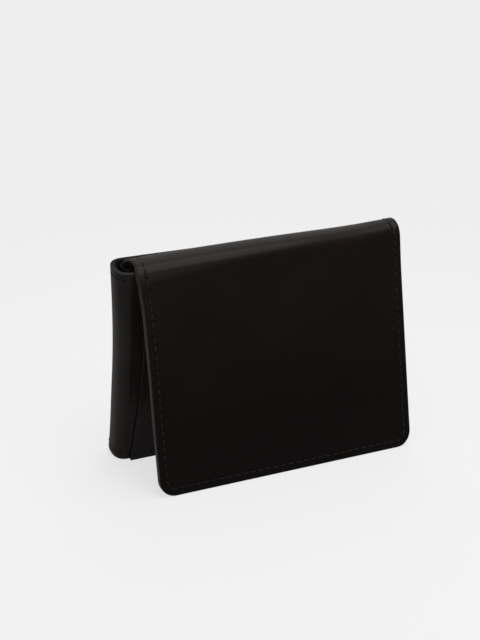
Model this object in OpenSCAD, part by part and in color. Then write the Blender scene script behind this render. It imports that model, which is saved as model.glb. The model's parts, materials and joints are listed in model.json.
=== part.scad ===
// Folding leather wallet with a full-width outer flap.
// It stands as a tent: the body leans one way, the flap leans the other way.
// Inside the body frame, x runs from the spine to the open side, y runs from
// the front face to the back face, and z runs up the height of the halves.

/* [Wallet] */
// Width of each half, from the spine's crease to the open side
wallet_w = 120; // [100:1:150]
// Height of each half
wallet_h = 93; // [84:0.5:110]
// Radius of the corners on the open side
corner_r = 8; // [3:0.5:14]
// Angle between the standing body and the vertical
body_lean = 10; // [6:0.5:16]
// Angle between the flap and the front face, as it stands
flap_spread = 21; // [14:0.5:32]

/* [Leather] */
// Thickness of the outer cover leather
cover_t = 1.2; // [0.9:0.1:1.5]
// Thickness of the fabric lining
lining_t = 0.5; // [0.3:0.1:0.7]
// Thickness of the inner leaf leather
leaf_t = 0.8; // [0.6:0.1:1]
// Thickness of the card pocket leather
pocket_t = 0.7; // [0.5:0.1:0.8]
// Room left between two layers that are sewn only at their edges
ply_gap = 0.3; // [0.2:0.05:0.4]
// Room left between pieces that bend against each other
crease_gap = 0.3; // [0.2:0.05:0.5]

/* [Spine] */
// How far the spine bulges past the creases
spine_bulge = 7.1; // [5:0.1:9]
// How far the spine is drawn in at half its height
spine_waist = 2; // [0:0.1:3]
// How far the inner leaf bulges into the spine
leaf_bulge = 3; // [2:0.1:3.4]

/* [Note compartment] */
// Room for notes in front of the divider
front_note_room = 1.4; // [1:0.1:2.5]
// Room for notes behind the divider
rear_note_room = 2; // [1.5:0.1:3.5]
// Thickness of the note divider
divider_t = 0.6; // [0.4:0.1:0.9]
// Room for notes in the back half
back_note_room = 0.8; // [0.5:0.1:1.5]

/* [Cards] */
// Width of a card pocket inside its seams
card_room_w = 88; // [87:0.5:92]
// Width of the seam allowance beside a card
card_seam_w = 5; // [3:0.5:8]
// Room between the flap's root and the mouth of the rearmost card pocket
pocket_drop = 5; // [2:0.5:10]
// Drop of each card pocket below the one behind it
pocket_step = 12; // [8:0.5:15]
// Depth of the thumb scoop in a pocket's mouth
scoop_depth = 2.5; // [1:0.1:4]
// Length of the thumb scoop in a pocket's mouth
scoop_w = 64; // [40:1:80]
// Width of the clear window
window_w = 78; // [60:1:84]
// Width of the frame above and below the clear window
window_rim = 3.5; // [2:0.5:6]
// Thickness of the clear film
film_t = 0.3; // [0.2:0.05:0.4]

/* [Slip pocket] */
// How far the outer slip pocket stops below the top edge
slip_drop = 2; // [1:0.5:10]

/* [Flap] */
// Thickness of the flap's outer leather at its sewn border
flap_hide_t = 1.6; // [1.2:0.1:2]
// Thickness of the flap's lining leather
flap_lining_t = 1; // [0.7:0.1:1.3]
// Thickness of the stiffening board inside the flap
board_t = 0.4; // [0.2:0.05:0.6]
// Width of the sewn border round the board
board_border = 5.5; // [4:0.5:10]
// Radius of the flap's lower corners
flap_corner_r = 8; // [4:0.5:16]
// Height of the fold's middle above the body's top edge
fold_rise = 0.5; // [0.2:0.1:3]
// Length of the flap's root that is sewn to the inner leaf
fold_leg = 14; // [8:0.5:16]

/* [Hidden] */
$fn = 64;

half_w = wallet_w / 2;
crease_x = -half_w;

// Layers of the front half, each by the place of its front face
slip_y = 0;
front_cover_y = slip_y + cover_t + ply_gap;
front_lining_y = front_cover_y + cover_t;
divider_y = front_lining_y + lining_t + front_note_room;
front_leaf_y = divider_y + divider_t + rear_note_room;
front_pocket_y = front_leaf_y + leaf_t;
front_pocket_count = 2;
film_y = front_pocket_y + front_pocket_count * pocket_t;
frame_y = film_y + film_t;
front_end_y = frame_y + pocket_t;

// Room between the two halves when the wallet is shut
halves_gap = 1;

// Layers of the back half, each by the place of its front face
back_pocket_count = 3;
back_pocket_y = front_end_y + halves_gap;
back_leaf_y = back_pocket_y + back_pocket_count * pocket_t;
back_lining_y = back_leaf_y + leaf_t + back_note_room;
back_cover_y = back_lining_y + lining_t;
body_d = back_cover_y + cover_t;

// The flap's fold turns about this line in the body frame
flap_t = flap_hide_t + flap_lining_t;
fold_rear_y = front_leaf_y + leaf_t;
fold_r_in = (fold_rear_y + ply_gap) / 2;
fold_r_mid = fold_r_in + flap_lining_t;
fold_r_out = fold_r_in + flap_t;
fold_y = fold_r_in - ply_gap;
fold_z = wallet_h + fold_rise;

// The flap is as long as it takes to reach the floor
flap_lean = flap_spread - body_lean;
fold_height = fold_z * cos(body_lean) + fold_y * sin(body_lean);
flap_len = (fold_height + fold_r_in * sin(flap_lean)) / cos(flap_lean);

// The whole stands on the floor with its box centred on the origin
fold_place = fold_y * cos(body_lean) - fold_z * sin(body_lean);
front_reach = fold_place - fold_r_out * cos(flap_lean) - flap_len * sin(flap_lean);
back_reach = body_d * cos(body_lean);
shift_x = (spine_bulge + crease_gap) / 2;
shift_y = -(front_reach + back_reach) / 2;

// Card pockets are centred on the half
card_panel_w = card_room_w + 2 * card_seam_w;
card_panel_x = -card_panel_w / 2;
pocket_lift = 3;
pocket_h = wallet_h - fold_leg - pocket_drop;
pocket_corner_r = 2;
leaf_drop = 1;

// The window stands over the lower part of the card pockets
window_panel_h = pocket_h - pocket_lift - front_pocket_count * pocket_step;
window_h = window_panel_h - 2 * window_rim;

// The spine's section is a rounded U, drawn as a superellipse
spine_points = 14;
spine_levels = 12;
round_share = 0.78;
lining_slack = 0.1;

// Width of the sewn hems that close the note compartments
hem_w = 3;

color_cover = [0.085, 0.08, 0.08];
color_edge = [0.13, 0.12, 0.12];
color_lining = [0.16, 0.15, 0.15];
color_film = [0.75, 0.78, 0.8, 0.5];
color_board = [0.55, 0.48, 0.38];

// Leans the body and centres the whole over the floor
module stand() {
    translate([shift_x, shift_y, 0])
        rotate([body_lean, 0, 0])
            children();
}

// A flat layer: its outline lies in x and z, and its thickness runs back from y
module layer(y, t) {
    translate([0, y + t, 0])
        rotate([90, 0, 0])
            linear_extrude(height = t)
                children();
}

// A half's outline: square at the crease and rounded on the open side
module half_outline(left, w, h, r) {
    translate([left, 0]) {
        square([w - r, h]);
        translate([0, r])
            square([w, h - 2 * r]);
        translate([w - r, r])
            circle(r);
        translate([w - r, h - r])
            circle(r);
    }
}

// The strip of a half's outline that is sewn, along the bottom and the open side
module hem_outline(left, w, h, r, hem) {
    difference() {
        half_outline(left, w, h, r);
        translate([left - hem, hem])
            half_outline(0, w, h, r - hem);
    }
}

// A rectangle with four rounded corners
module round_rect(w, h, r) {
    translate([r, 0])
        square([w - 2 * r, h]);
    translate([0, r])
        square([w, h - 2 * r]);
    for (x = [r, w - r], z = [r, h - r])
        translate([x, z])
            circle(r);
}

// A card pocket: a panel whose mouth has a shallow thumb scoop
module card_pocket(y, drop) {
    h = pocket_h - pocket_lift - drop;
    scoop_r = (scoop_w * scoop_w / 4 + scoop_depth * scoop_depth) / (2 * scoop_depth);
    layer(y, pocket_t)
        translate([card_panel_x, pocket_lift])
            difference() {
                round_rect(card_panel_w, h, pocket_corner_r);
                translate([card_panel_w / 2, h + scoop_r - scoop_depth])
                    circle(scoop_r, $fn = 180);
            }
}

// The U's outer line, from the front crease round to the back crease
function spine_point(y0, y1, bulge, i) =
    let (a = -90 + 180 * i / spine_points)
    [-bulge * pow(max(cos(a), 0), round_share),
     (y0 + y1) / 2 + (y1 - y0) / 2 * sign(sin(a)) * pow(abs(sin(a)), round_share)];

// The same line moved inwards by a depth, square to itself
function spine_inset(y0, y1, bulge, i, depth) =
    let (p = spine_point(y0, y1, bulge, i),
         before = spine_point(y0, y1, bulge, max(i - 1, 0)),
         after = spine_point(y0, y1, bulge, min(i + 1, spine_points)),
         along = i == 0 ? [-1, 0] : i == spine_points ? [1, 0] : after - before,
         unit = along / norm(along))
    p + [unit[1], -unit[0]] * depth;

// A U-shaped sheet round the spine, drawn in at half its height.
// It lies between two depths under the U's outer line.
module spine_sheet(y0, y1, bulge, depth, t, drop) {
    x0 = crease_x - crease_gap;
    n = 2 * (spine_points + 1);
    h = wallet_h - drop;
    function ring(z) =
        let (b = bulge - spine_waist * bulge / spine_bulge * sin(180 * z / wallet_h))
        [for (i = [0:n - 1])
            let (p = i <= spine_points
                ? spine_inset(y0, y1, b, i, depth)
                : spine_inset(y0, y1, b, n - 1 - i, depth + t))
            [x0 + p[0], p[1], z]];
    points = [for (k = [0:spine_levels]) each ring(h * k / spine_levels)];
    sides = [for (k = [0:spine_levels - 1], i = [0:n - 1])
        let (a = k * n + i, b = k * n + (i + 1) % n)
        each [[a, b, b + n], [a, b + n, a + n]]];
    top = spine_levels * n;
    caps = [for (i = [0:spine_points - 1])
        each [[i, n - 1 - i, n - 2 - i], [i, n - 2 - i, i + 1],
              [top + i, top + n - 2 - i, top + n - 1 - i],
              [top + i, top + i + 1, top + n - 2 - i]]];
    polyhedron(points = points, faces = concat(sides, caps));
}

// The flap's outline, hanging from z = 0, with rounded lower corners
module flap_outline(inset) {
    w = wallet_w - 2 * inset;
    h = flap_len - 2 * inset;
    r = flap_corner_r - inset / 2;
    translate([crease_x + inset, -flap_len + inset]) {
        translate([r, 0])
            square([w - 2 * r, h]);
        translate([0, r])
            square([w, h - r]);
        for (x = [r, w - r])
            translate([x, r])
                circle(r);
    }
}

// Places a flap layer, given by its distance from the fold's middle line
module flap_layer(r_outer, t) {
    translate([0, fold_y, fold_z])
        rotate([-flap_spread, 0, 0])
            layer(-r_outer, t)
                children();
}

// A sheet that is sewn to the inner leaf and rolls over the top into the flap
module fold_sheet(r, t) {
    span = 2 * (r + t);
    translate([crease_x, fold_y, fold_z])
        rotate([90, 0, 90])
            linear_extrude(height = wallet_w) {
                intersection() {
                    difference() {
                        circle(r + t, $fn = 96);
                        circle(r, $fn = 96);
                    }
                    polygon([[0, 0], [span, 0], [span, span], [-span, span],
                        [-span, span * tan(flap_spread)]]);
                }
                translate([r, -fold_leg - fold_rise])
                    square([t, fold_leg + fold_rise]);
            }
}

module back_cover() {
    color(color_cover)
        stand()
            layer(back_cover_y, cover_t)
                half_outline(crease_x, wallet_w, wallet_h, corner_r);
}

module back_lining() {
    color(color_lining)
        stand()
            layer(back_lining_y, lining_t)
                half_outline(crease_x, wallet_w, wallet_h, corner_r);
}

module back_leaf() {
    h = wallet_h - leaf_drop;
    color(color_cover)
        stand() {
            layer(back_leaf_y, leaf_t)
                half_outline(crease_x, wallet_w, h, corner_r);
            layer(back_leaf_y, leaf_t + back_note_room)
                hem_outline(crease_x, wallet_w, h, corner_r, hem_w);
        }
}

module back_card_pocket_rear() {
    color(color_cover)
        stand()
            card_pocket(back_pocket_y + 2 * pocket_t, 0);
}

module back_card_pocket_middle() {
    color(color_cover)
        stand()
            card_pocket(back_pocket_y + pocket_t, pocket_step);
}

module back_card_pocket_front() {
    color(color_cover)
        stand()
            card_pocket(back_pocket_y, 2 * pocket_step);
}

module spine_leather() {
    color(color_cover)
        stand()
            spine_sheet(front_cover_y, body_d, spine_bulge, 0, cover_t, 0);
}

module spine_lining() {
    color(color_lining)
        stand()
            spine_sheet(front_cover_y, body_d, spine_bulge, cover_t + lining_slack, lining_t, 0);
}

module spine_leaf() {
    color(color_cover)
        stand()
            spine_sheet(front_leaf_y, back_leaf_y + leaf_t, leaf_bulge, 0, leaf_t, leaf_drop);
}

module slip_pocket_panel() {
    color(color_cover)
        stand()
            layer(slip_y, cover_t)
                half_outline(crease_x, wallet_w, wallet_h - slip_drop, corner_r);
}

module front_cover() {
    color(color_cover)
        stand()
            layer(front_cover_y, cover_t)
                half_outline(crease_x, wallet_w, wallet_h, corner_r);
}

module front_lining() {
    color(color_lining)
        stand()
            layer(front_lining_y, lining_t)
                half_outline(crease_x, wallet_w, wallet_h, corner_r);
}

module note_divider() {
    h = wallet_h - 2 * leaf_drop;
    color(color_lining)
        stand() {
            layer(divider_y, divider_t)
                half_outline(crease_x, wallet_w, h, corner_r);
            layer(divider_y - front_note_room, front_note_room + divider_t + rear_note_room)
                hem_outline(crease_x, wallet_w, h, corner_r, hem_w);
        }
}

module front_leaf() {
    color(color_cover)
        stand()
            layer(front_leaf_y, leaf_t)
                half_outline(crease_x, wallet_w, wallet_h - leaf_drop, corner_r);
}

module front_card_pocket_rear() {
    color(color_cover)
        stand()
            card_pocket(front_pocket_y, 0);
}

module front_card_pocket_front() {
    color(color_cover)
        stand()
            card_pocket(front_pocket_y + pocket_t, pocket_step);
}

module window_film() {
    film_seat = card_seam_w / 2;
    color(color_film)
        stand()
            layer(film_y, film_t)
                translate([card_panel_x + film_seat, pocket_lift + film_seat])
                    square([card_panel_w - 2 * film_seat, window_panel_h - film_seat]);
}

module window_frame() {
    color(color_cover)
        stand()
            layer(frame_y, pocket_t)
                translate([card_panel_x, pocket_lift])
                    difference() {
                        round_rect(card_panel_w, window_panel_h, pocket_corner_r);
                        translate([(card_panel_w - window_w) / 2, (window_panel_h - window_h) / 2])
                            round_rect(window_w, window_h, pocket_corner_r);
                    }
}

module fold_leather() {
    color(color_cover)
        stand()
            fold_sheet(fold_r_mid, flap_hide_t);
}

module fold_lining() {
    color(color_edge)
        stand()
            fold_sheet(fold_r_in, flap_lining_t);
}

module flap_leather() {
    color(color_cover)
        stand()
            difference() {
                flap_layer(fold_r_out, flap_hide_t)
                    flap_outline(0);
                flap_layer(fold_r_mid + board_t, board_t + ply_gap)
                    flap_outline(board_border);
            }
}

module flap_board() {
    color(color_board)
        stand()
            flap_layer(fold_r_mid + board_t, board_t)
                flap_outline(board_border);
}

module flap_lining() {
    color(color_edge)
        stand()
            flap_layer(fold_r_mid, flap_lining_t)
                flap_outline(0);
}

back_cover();
back_lining();
back_leaf();
back_card_pocket_rear();
back_card_pocket_middle();
back_card_pocket_front();
spine_leather();
spine_lining();
spine_leaf();
slip_pocket_panel();
front_cover();
front_lining();
note_divider();
front_leaf();
front_card_pocket_rear();
front_card_pocket_front();
window_film();
window_frame();
fold_leather();
fold_lining();
flap_leather();
flap_board();
flap_lining();
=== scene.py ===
import json
import math
import bpy
import numpy as np
from mathutils import Matrix


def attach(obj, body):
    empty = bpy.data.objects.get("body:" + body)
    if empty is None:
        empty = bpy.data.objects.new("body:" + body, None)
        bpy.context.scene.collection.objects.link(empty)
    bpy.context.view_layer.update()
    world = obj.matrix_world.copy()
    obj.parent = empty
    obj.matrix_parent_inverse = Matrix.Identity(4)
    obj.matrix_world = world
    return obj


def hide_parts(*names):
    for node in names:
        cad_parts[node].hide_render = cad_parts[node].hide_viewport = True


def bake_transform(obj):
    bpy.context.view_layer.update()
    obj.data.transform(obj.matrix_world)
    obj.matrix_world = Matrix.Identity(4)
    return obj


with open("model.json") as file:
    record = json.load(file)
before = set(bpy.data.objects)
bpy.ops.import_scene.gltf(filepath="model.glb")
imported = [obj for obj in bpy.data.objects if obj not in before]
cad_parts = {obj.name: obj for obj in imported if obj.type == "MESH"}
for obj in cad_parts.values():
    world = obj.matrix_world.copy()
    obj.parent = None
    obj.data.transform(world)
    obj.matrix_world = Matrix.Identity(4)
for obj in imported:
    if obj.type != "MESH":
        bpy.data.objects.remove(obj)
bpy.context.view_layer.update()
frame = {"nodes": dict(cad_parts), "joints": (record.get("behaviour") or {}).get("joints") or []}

mm = 0.001

# The wallet's own directions come from its joints: up runs along the spine's
# crease, back runs from the front face to the back cover
jointByName = {j["name"]: j for j in frame["joints"]}
across = np.array([1.0, 0.0, 0.0])
up = -np.array(jointByName["spine_back_crease"]["axis"], float)
up /= np.linalg.norm(up)
back = np.cross(up, across)
foldPoint = np.array(jointByName["flap_fold"]["pos_m"], float)


def vertsOf(node):
    return np.array([v.co for v in frame["nodes"][node].data.vertices], float)


def spanOf(node, axis):
    d = (vertsOf(node) - wallet0) @ axis / mm
    return float(d.min()), float(d.max())


# The corner that all measures start from: middle of the width, front face, bottom
flapBox = vertsOf("flap_leather")
slipBox = vertsOf("slip_pocket_panel")
wallet0 = (across * (flapBox[:, 0].min() + flapBox[:, 0].max()) / 2
           + back * (slipBox @ back).min() + up * (slipBox @ up).min())

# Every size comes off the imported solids, in millimetres
creaseX, openX = spanOf("back_cover", across)
coverHeight = spanOf("back_cover", up)[1]
layers = {n: spanOf(n, back) for n in frame["nodes"] if n[:4] not in ("flap", "fold")}
heights = {n: spanOf(n, up) for n in layers}
frontY, backY = layers["front_cover"][0], layers["back_cover"][1]
bulge = creaseX - spanOf("spine_leather", across)[0]
slipTop, leafTop = heights["slip_pocket_panel"][1], heights["front_leaf"][1]
print("frame read:", round(openX - creaseX, 1), "wide,", round(coverHeight, 1), "high,",
      round(backY, 1), "deep")


def walletPoint(x, y, z):
    x, y, z = np.broadcast_arrays(x, y, z)
    return wallet0 + (x[..., None] * across + y[..., None] * back + z[..., None] * up) * mm


def settle(piece, bodies, nodes=(), ends=None):
    # a piece rides on one body, or, given ends, lies between two and is baked where it stands
    if ends:
        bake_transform(piece)
    else:
        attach(piece, *bodies)
    if nodes:
        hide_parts(*nodes)
    return piece


def linear(hexColor):
    parts = [int(hexColor[i:i + 2], 16) / 255 for i in (1, 3, 5)]
    return tuple(c / 12.92 if c <= 0.04045 else ((c + 0.055) / 1.055) ** 2.4 for c in parts) + (1.0,)


def addNode(tree, kind, inputs=None, **settings):
    # an input takes a value, a socket to link, or a node whose first output is linked
    node = tree.nodes.new(kind)
    for key, value in settings.items():
        setattr(node, key, value)
    for key, value in (inputs or {}).items():
        if isinstance(value, bpy.types.Node):
            value = value.outputs[0]
        if isinstance(value, bpy.types.NodeSocket):
            tree.links.new(value, node.inputs[key])
        else:
            node.inputs[key].default_value = value
    return node


def calc(tree, operation, *terms):
    return addNode(tree, "ShaderNodeMath", dict(enumerate(terms)), operation=operation)


def remap(tree, value, span, to=(0.0, 1.0), kind="LINEAR"):
    ends = zip(("From Min", "From Max", "To Min", "To Max"), (*span, *to))
    return addNode(tree, "ShaderNodeMapRange", {"Value": value, **dict(ends)}, interpolation_type=kind)


def mixTone(tree, share, low, high):
    ends = {0: share, 6: linear(low), 7: linear(high)}
    return addNode(tree, "ShaderNodeMix", ends, data_type="RGBA").outputs[2]


def addNoise(tree, place, size, detail):
    return addNode(tree, "ShaderNodeTexNoise", {"Vector": place, "Scale": 1 / size, "Detail": detail})


def addBump(tree, height, depth, strength, under=None):
    inputs = {"Height": height, "Distance": depth * mm, "Strength": strength}
    return addNode(tree, "ShaderNodeBump", {**inputs, "Normal": under} if under else inputs)


def onSheet(tree, scale=1.0):
    # the sheet's own UV map in millimetres, times the scale
    uv = addNode(tree, "ShaderNodeUVMap", uv_map="sheet")
    return addNode(tree, "ShaderNodeMapping", {"Vector": uv, "Scale": (scale / mm,) * 3})


def objectPlace(tree):
    return addNode(tree, "ShaderNodeTexCoord").outputs["Object"]


def newMaterial(name):
    mat = bpy.data.materials.new(name)
    mat.use_nodes = True
    mat.node_tree.nodes.clear()
    return mat, mat.node_tree


def setSkin(tree, inputs):
    skin = addNode(tree, "ShaderNodeBsdfPrincipled", inputs)
    addNode(tree, "ShaderNodeOutputMaterial", {"Surface": skin})


# Leather: full grain cowhide, dyed through and lightly glazed. Lengths in mm
coverLeather = {
    "low": "#090604", "high": "#130b07",  # dye in the creases and on the top of the grain
    "roughLow": 0.42, "roughHigh": 0.56,  # tops and pits of the grain, under the glaze
    "specular": 0.01, "tint": "#ffdabc",  # the dye warms what shines through the glaze
    "glaze": 0.105, "glazeRough": 0.22, "ior": 1.5,
    "cloud": 34.0,  # size of the clouds, which lighten the dye and deepen it
    "cloudFrom": (0.3, 0.7), "cloudTo": (0.72, 1.25),
    "fadeFrom": (45.0, 95.0), "fadeTo": (1.1, 0.3),  # along the sheet, and how light the colour is painted there: painted light and shade, lighter near the fold and darker towards the foot
    "grain": 0.55, "valley": 0.22, "pore": 0.22, "wave": 16.0,
    "grainDepth": 0.035, "waveDepth": 0.25,
}
# The body's outside is the flap's hide painted lighter and greyer, as painted light for the brighter light on
# the spine, covers and slip pocket
bodyLeatherPaintedLighter = dict(coverLeather, low="#141211", high="#282422", tint="#fff4ea", fadeFrom=(0, 1), fadeTo=(1, 1))
innerLeather = dict(bodyLeatherPaintedLighter, low="#181615", high="#282422", roughLow=0.5, roughHigh=0.62, specular=0.03,
                    glaze=0.04, grain=0.7)


def makeLeather(name, v):
    mat, tree = newMaterial(name)
    size = onSheet(tree)
    grid = {"Vector": size, "Scale": 1 / v["grain"]}
    cells = addNode(tree, "ShaderNodeTexVoronoi", grid, feature="DISTANCE_TO_EDGE")
    tops = remap(tree, cells.outputs["Distance"], (0.0, v["valley"]), kind="SMOOTHSTEP")
    skin = calc(tree, "MULTIPLY", tops, addNoise(tree, size, v["pore"], 3.0))
    clouds = remap(tree, addNoise(tree, size, v["cloud"], 2.0), v["cloudFrom"], v["cloudTo"])
    along = addNode(tree, "ShaderNodeSeparateXYZ", {"Vector": size}).outputs["Y"]
    # the clouds are the hide's own tone; the change along the sheet is painted light and shade, lighter near the
    # fold and darker towards the foot
    dye = calc(tree, "MULTIPLY", clouds, remap(tree, along, v["fadeFrom"], v["fadeTo"]))
    tone = mixTone(tree, skin, v["low"], v["high"])
    wave = addBump(tree, addNoise(tree, size, v["wave"], 2.0), v["waveDepth"], 1.0)
    setSkin(tree, {
        "Base Color": addNode(tree, "ShaderNodeVectorMath", {0: tone, "Scale": dye}, operation="SCALE"),
        "Roughness": remap(tree, skin, (0.0, 1.0), (v["roughHigh"], v["roughLow"])),
        "Normal": addBump(tree, skin, v["grainDepth"], 0.8, wave),
        "IOR": v["ior"], "Specular IOR Level": v["specular"], "Specular Tint": linear(v["tint"]),
        "Coat Weight": v["glaze"], "Coat Roughness": v["glazeRough"], "Coat IOR": v["ior"],
    })
    return mat


coverMat = makeLeather("full_grain_cowhide_black", coverLeather)
# the body's hide, painted lighter than the flap's as painted light
bodyMatPaintedLighter = makeLeather("full_grain_cowhide_grey_black", bodyLeatherPaintedLighter)
innerMat = makeLeather("inner_cowhide_black", innerLeather)

# Fibrous surfaces, lengths in mm. A cut edge is sealed with dark paint or dyed through, a
# board is pressed from leather fibre, and a needle hole shows raw fibre in shade
edgePaint = {"low": "#12100e", "high": "#221e1b", "fibre": 0.35, "detail": 4.0, "depth": 0.06,
             "rough": 0.5, "specular": 0.1}
rawEdge = dict(edgePaint, low="#050404", high="#0c0b0b", specular=0.02)
pressedBoard = {"low": "#6a5238", "high": "#8d7350", "fibre": 1.2, "detail": 5.0, "depth": 0,
                "rough": 0.85, "specular": 0.5}
holeShade = {"low": "#020202", "high": "#0a0909", "fibre": 0.25, "detail": 2.0, "depth": 0,
             "rough": 0.95, "specular": 0.05}


def makeFibrous(name, v):
    mat, tree = newMaterial(name)
    fibre = addNoise(tree, objectPlace(tree), v["fibre"] * mm, v["detail"])
    inputs = {"Base Color": mixTone(tree, fibre, v["low"], v["high"]), "Roughness": v["rough"],
              "Specular IOR Level": v["specular"]}
    if v["depth"]:
        inputs["Normal"] = addBump(tree, fibre, v["depth"], 0.8)
    setSkin(tree, inputs)
    return mat


edgeMat = makeFibrous("edge_paint_dark", edgePaint)
rawEdgeMat = makeFibrous("cut_leather_edge_dyed_through", rawEdge)
boardMat = makeFibrous("pressed_leatherboard", pressedBoard)
holeMat = makeFibrous("needle_hole_shade", holeShade)

# Lining: plain woven polyester, whose threads show as a fine grid with a slight sheen
liningCloth = {"dark": "#0b0a0a", "light": "#1a191a", "thread": 0.42, "depth": 0.08,
               "rough": 0.62, "specular": 0.1, "sheen": 0.04, "sheenRough": 0.4}


def makeWoven(name, v):
    mat, tree = newMaterial(name)
    part = addNode(tree, "ShaderNodeSeparateXYZ", {"Vector": onSheet(tree, math.pi / v["thread"])}).outputs
    cross = calc(tree, "MULTIPLY", *(calc(tree, "SINE", part[side]) for side in ("X", "Y")))
    height = remap(tree, cross, (-1.0, 1.0))
    setSkin(tree, {
        "Base Color": mixTone(tree, height, v["dark"], v["light"]),
        "Normal": addBump(tree, height, v["depth"], 0.7),
        "Roughness": v["rough"], "Specular IOR Level": v["specular"],
        "Sheen Weight": v["sheen"], "Sheen Roughness": v["sheenRough"],
    })
    return mat


fabricMat = makeWoven("woven_polyester_lining", liningCloth)
leathers = (bodyMatPaintedLighter, innerMat, edgeMat, rawEdgeMat)
inners = (innerMat, innerMat, rawEdgeMat)
linings = (fabricMat,) * 3

# Sheets are laid out flat in u and v, then placed by a function that also takes the
# depth under the outer face. Lines crowd at free edges for the rounding and the seam
sheetLook = {
    "lines": [0, 0.03, 0.1, 0.2, 0.34, 0.55, 0.95, 1.6, 2.3, 2.75, 3.05, 3.3, 3.55, 3.85, 4.3,
              5.0, 6.0, 7.2, 8.6],
    "pitch": 4.0, "innerUv": 200.0,  # the inner face lies this far off in the UV map
    "seamInset": 3.3, "seamDepth": 0.14, "seamWidth": 0.42,
}


def ramp(t):
    t = np.clip(t, 0, 1)
    return t * t * (3 - 2 * t)


def spread(length, startFree, endFree, extra=(), pitch=sheetLook["pitch"]):
    near = [d for d in sheetLook["lines"] if d < length / 2]
    marks = {0.0, length, *extra, *(near if startFree else ()), *(length - d for d in near if endFree)}
    marks = sorted({round(m, 4) for m in marks})
    full = []
    for a, b in zip(marks, marks[1:]):
        n = max(1, math.ceil((b - a) / pitch - 1e-6))
        full += [a + (b - a) * k / n for k in range(n)]
    return np.array(full + [marks[-1]])


def roundCorners(u, v, corners):
    # each corner: its centre, the sides it faces, its radius
    x, y = u.copy(), v.copy()
    for cx, cy, sx, sy, r in corners:
        a, b = sx * (u - cx) / r, sy * (v - cy) / r
        inside = (a > 0) & (b > 0)
        k = np.where(inside, np.maximum(a, b) / np.maximum(np.hypot(a, b), 1e-9), 1)
        x = np.where(inside, cx + sx * a * k * r, x)
        y = np.where(inside, cy + sy * b * k * r, y)
    return x, y


def cornersOf(x0, x1, z0, z1, r, left=True, right=True, bottom=True, top=True):
    return [(x1 - r if sx > 0 else x0 + r, z1 - r if sz > 0 else z0 + r, sx, sz, r)
            for sx, sz, on in ((1, 1, right and top), (1, -1, right and bottom),
                               (-1, 1, left and top), (-1, -1, left and bottom)) if on]


def edgeFall(d, r):
    # how deep a rounding of radius r lies at a distance from the edge
    return r - np.sqrt(np.maximum(r * r - (r - np.minimum(d, r)) ** 2, 0))


def seamDip(d):
    s = sheetLook
    return -s["seamDepth"] * np.exp(-((d - s["seamInset"]) / s["seamWidth"]) ** 2)


def plainSeam(x, z, d):
    return seamDip(d)


def buildMesh(name, outer, inner, uv, faces, kinds, mats):
    v = np.concatenate([outer.reshape(-1, 3), inner.reshape(-1, 3)])
    uv = np.concatenate([uv, uv + sheetLook["innerUv"]])
    tri = [(f[0], f[k], f[k + 1]) for f in faces for k in range(1, len(f) - 1)]
    a, b, c = (v[[t[k] for t in tri]] for k in range(3))
    if np.einsum("ij,ij->i", a - v.mean(0), np.cross(b - v.mean(0), c - v.mean(0))).sum() < 0:
        faces = [tuple(reversed(f)) for f in faces]
    mesh = bpy.data.meshes.new(name)
    mesh.from_pydata(v.tolist(), [], faces)
    layer = mesh.uv_layers.new(name="sheet")
    index = np.zeros(len(mesh.loops), np.int32)
    mesh.loops.foreach_get("vertex_index", index)
    layer.data.foreach_set("uv", (uv[index] * mm).astype(np.float32).ravel())
    for m in mats:
        mesh.materials.append(m)
    mesh.polygons.foreach_set("material_index", np.asarray(kinds, np.int32))
    mesh.polygons.foreach_set("use_smooth", np.ones(len(faces), bool))
    mesh.update()
    piece = bpy.data.objects.new(name, mesh)
    bpy.context.scene.collection.objects.link(piece)
    return piece


def makeSheet(name, us, vs, thick, place, free, corners=(), mats=(), rounding=0.3, relief=None,
              under=None, sewn=None):
    # free: which of the four edges are cut edges; sewn: which of them a seam runs along
    u, v = np.meshgrid(us, vs, indexing="ij")
    gaps = (u - us[0], us[-1] - u, v - vs[0], vs[-1] - v)
    d, seamD = (np.min([g if on else np.full(u.shape, 1e3) for on, g in zip(which, gaps)], axis=0)
                for which in (free, sewn or free))
    x, y = roundCorners(u, v, corners)
    # the outer and the inner edge's rounding leave a flat rim between them
    r, rIn = rounding if isinstance(rounding, tuple) else (min(rounding, thick / 2 - 0.02),) * 2
    outer = place(x, y, edgeFall(d, r) - (relief(x, y, seamD) if relief else 0))
    inner = place(x, y, thick - edgeFall(d, rIn) - (under(x, y, seamD) if under else 0))
    nu, nv = u.shape
    half = nu * nv
    rim = len(mats) - 1
    faces, kinds = [], []
    for i in range(nu - 1):
        for j in range(nv - 1):
            a = i * nv + j
            q = (a, a + nv, a + nv + 1, a + 1)
            edge = d[i:i + 2, j:j + 2].max() < max(0.12, 0.62 * r)
            faces += [q, tuple(half + k for k in reversed(q))]
            kinds += [2 if edge else 0, rim if edge else 1]
    loop = ([i * nv for i in range(nu)] + [half - nv + j for j in range(1, nv)]
            + [i * nv + nv - 1 for i in range(nu - 2, -1, -1)] + list(range(nv - 2, 0, -1)))
    for a, b in zip(loop, loop[1:] + loop[:1]):
        faces.append((b, a, a + half, b + half))
        kinds.append(rim)
    piece = buildMesh(name, outer, inner, np.stack([x, y], -1).reshape(-1, 2), faces, kinds, mats)
    sides = (range(nv), range(half - nv, half), range(0, half, nv), range(nv - 1, half, nv))
    butt = [set(line) for on, line in zip(free, sides) if not on]
    for e in piece.data.edges:
        # an end that meets another sheet is sharp, so that the two shade as one
        a, b = (k % half for k in e.vertices)
        e.use_edge_sharp = any(a in line and b in line for line in butt)
    return piece


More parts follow.
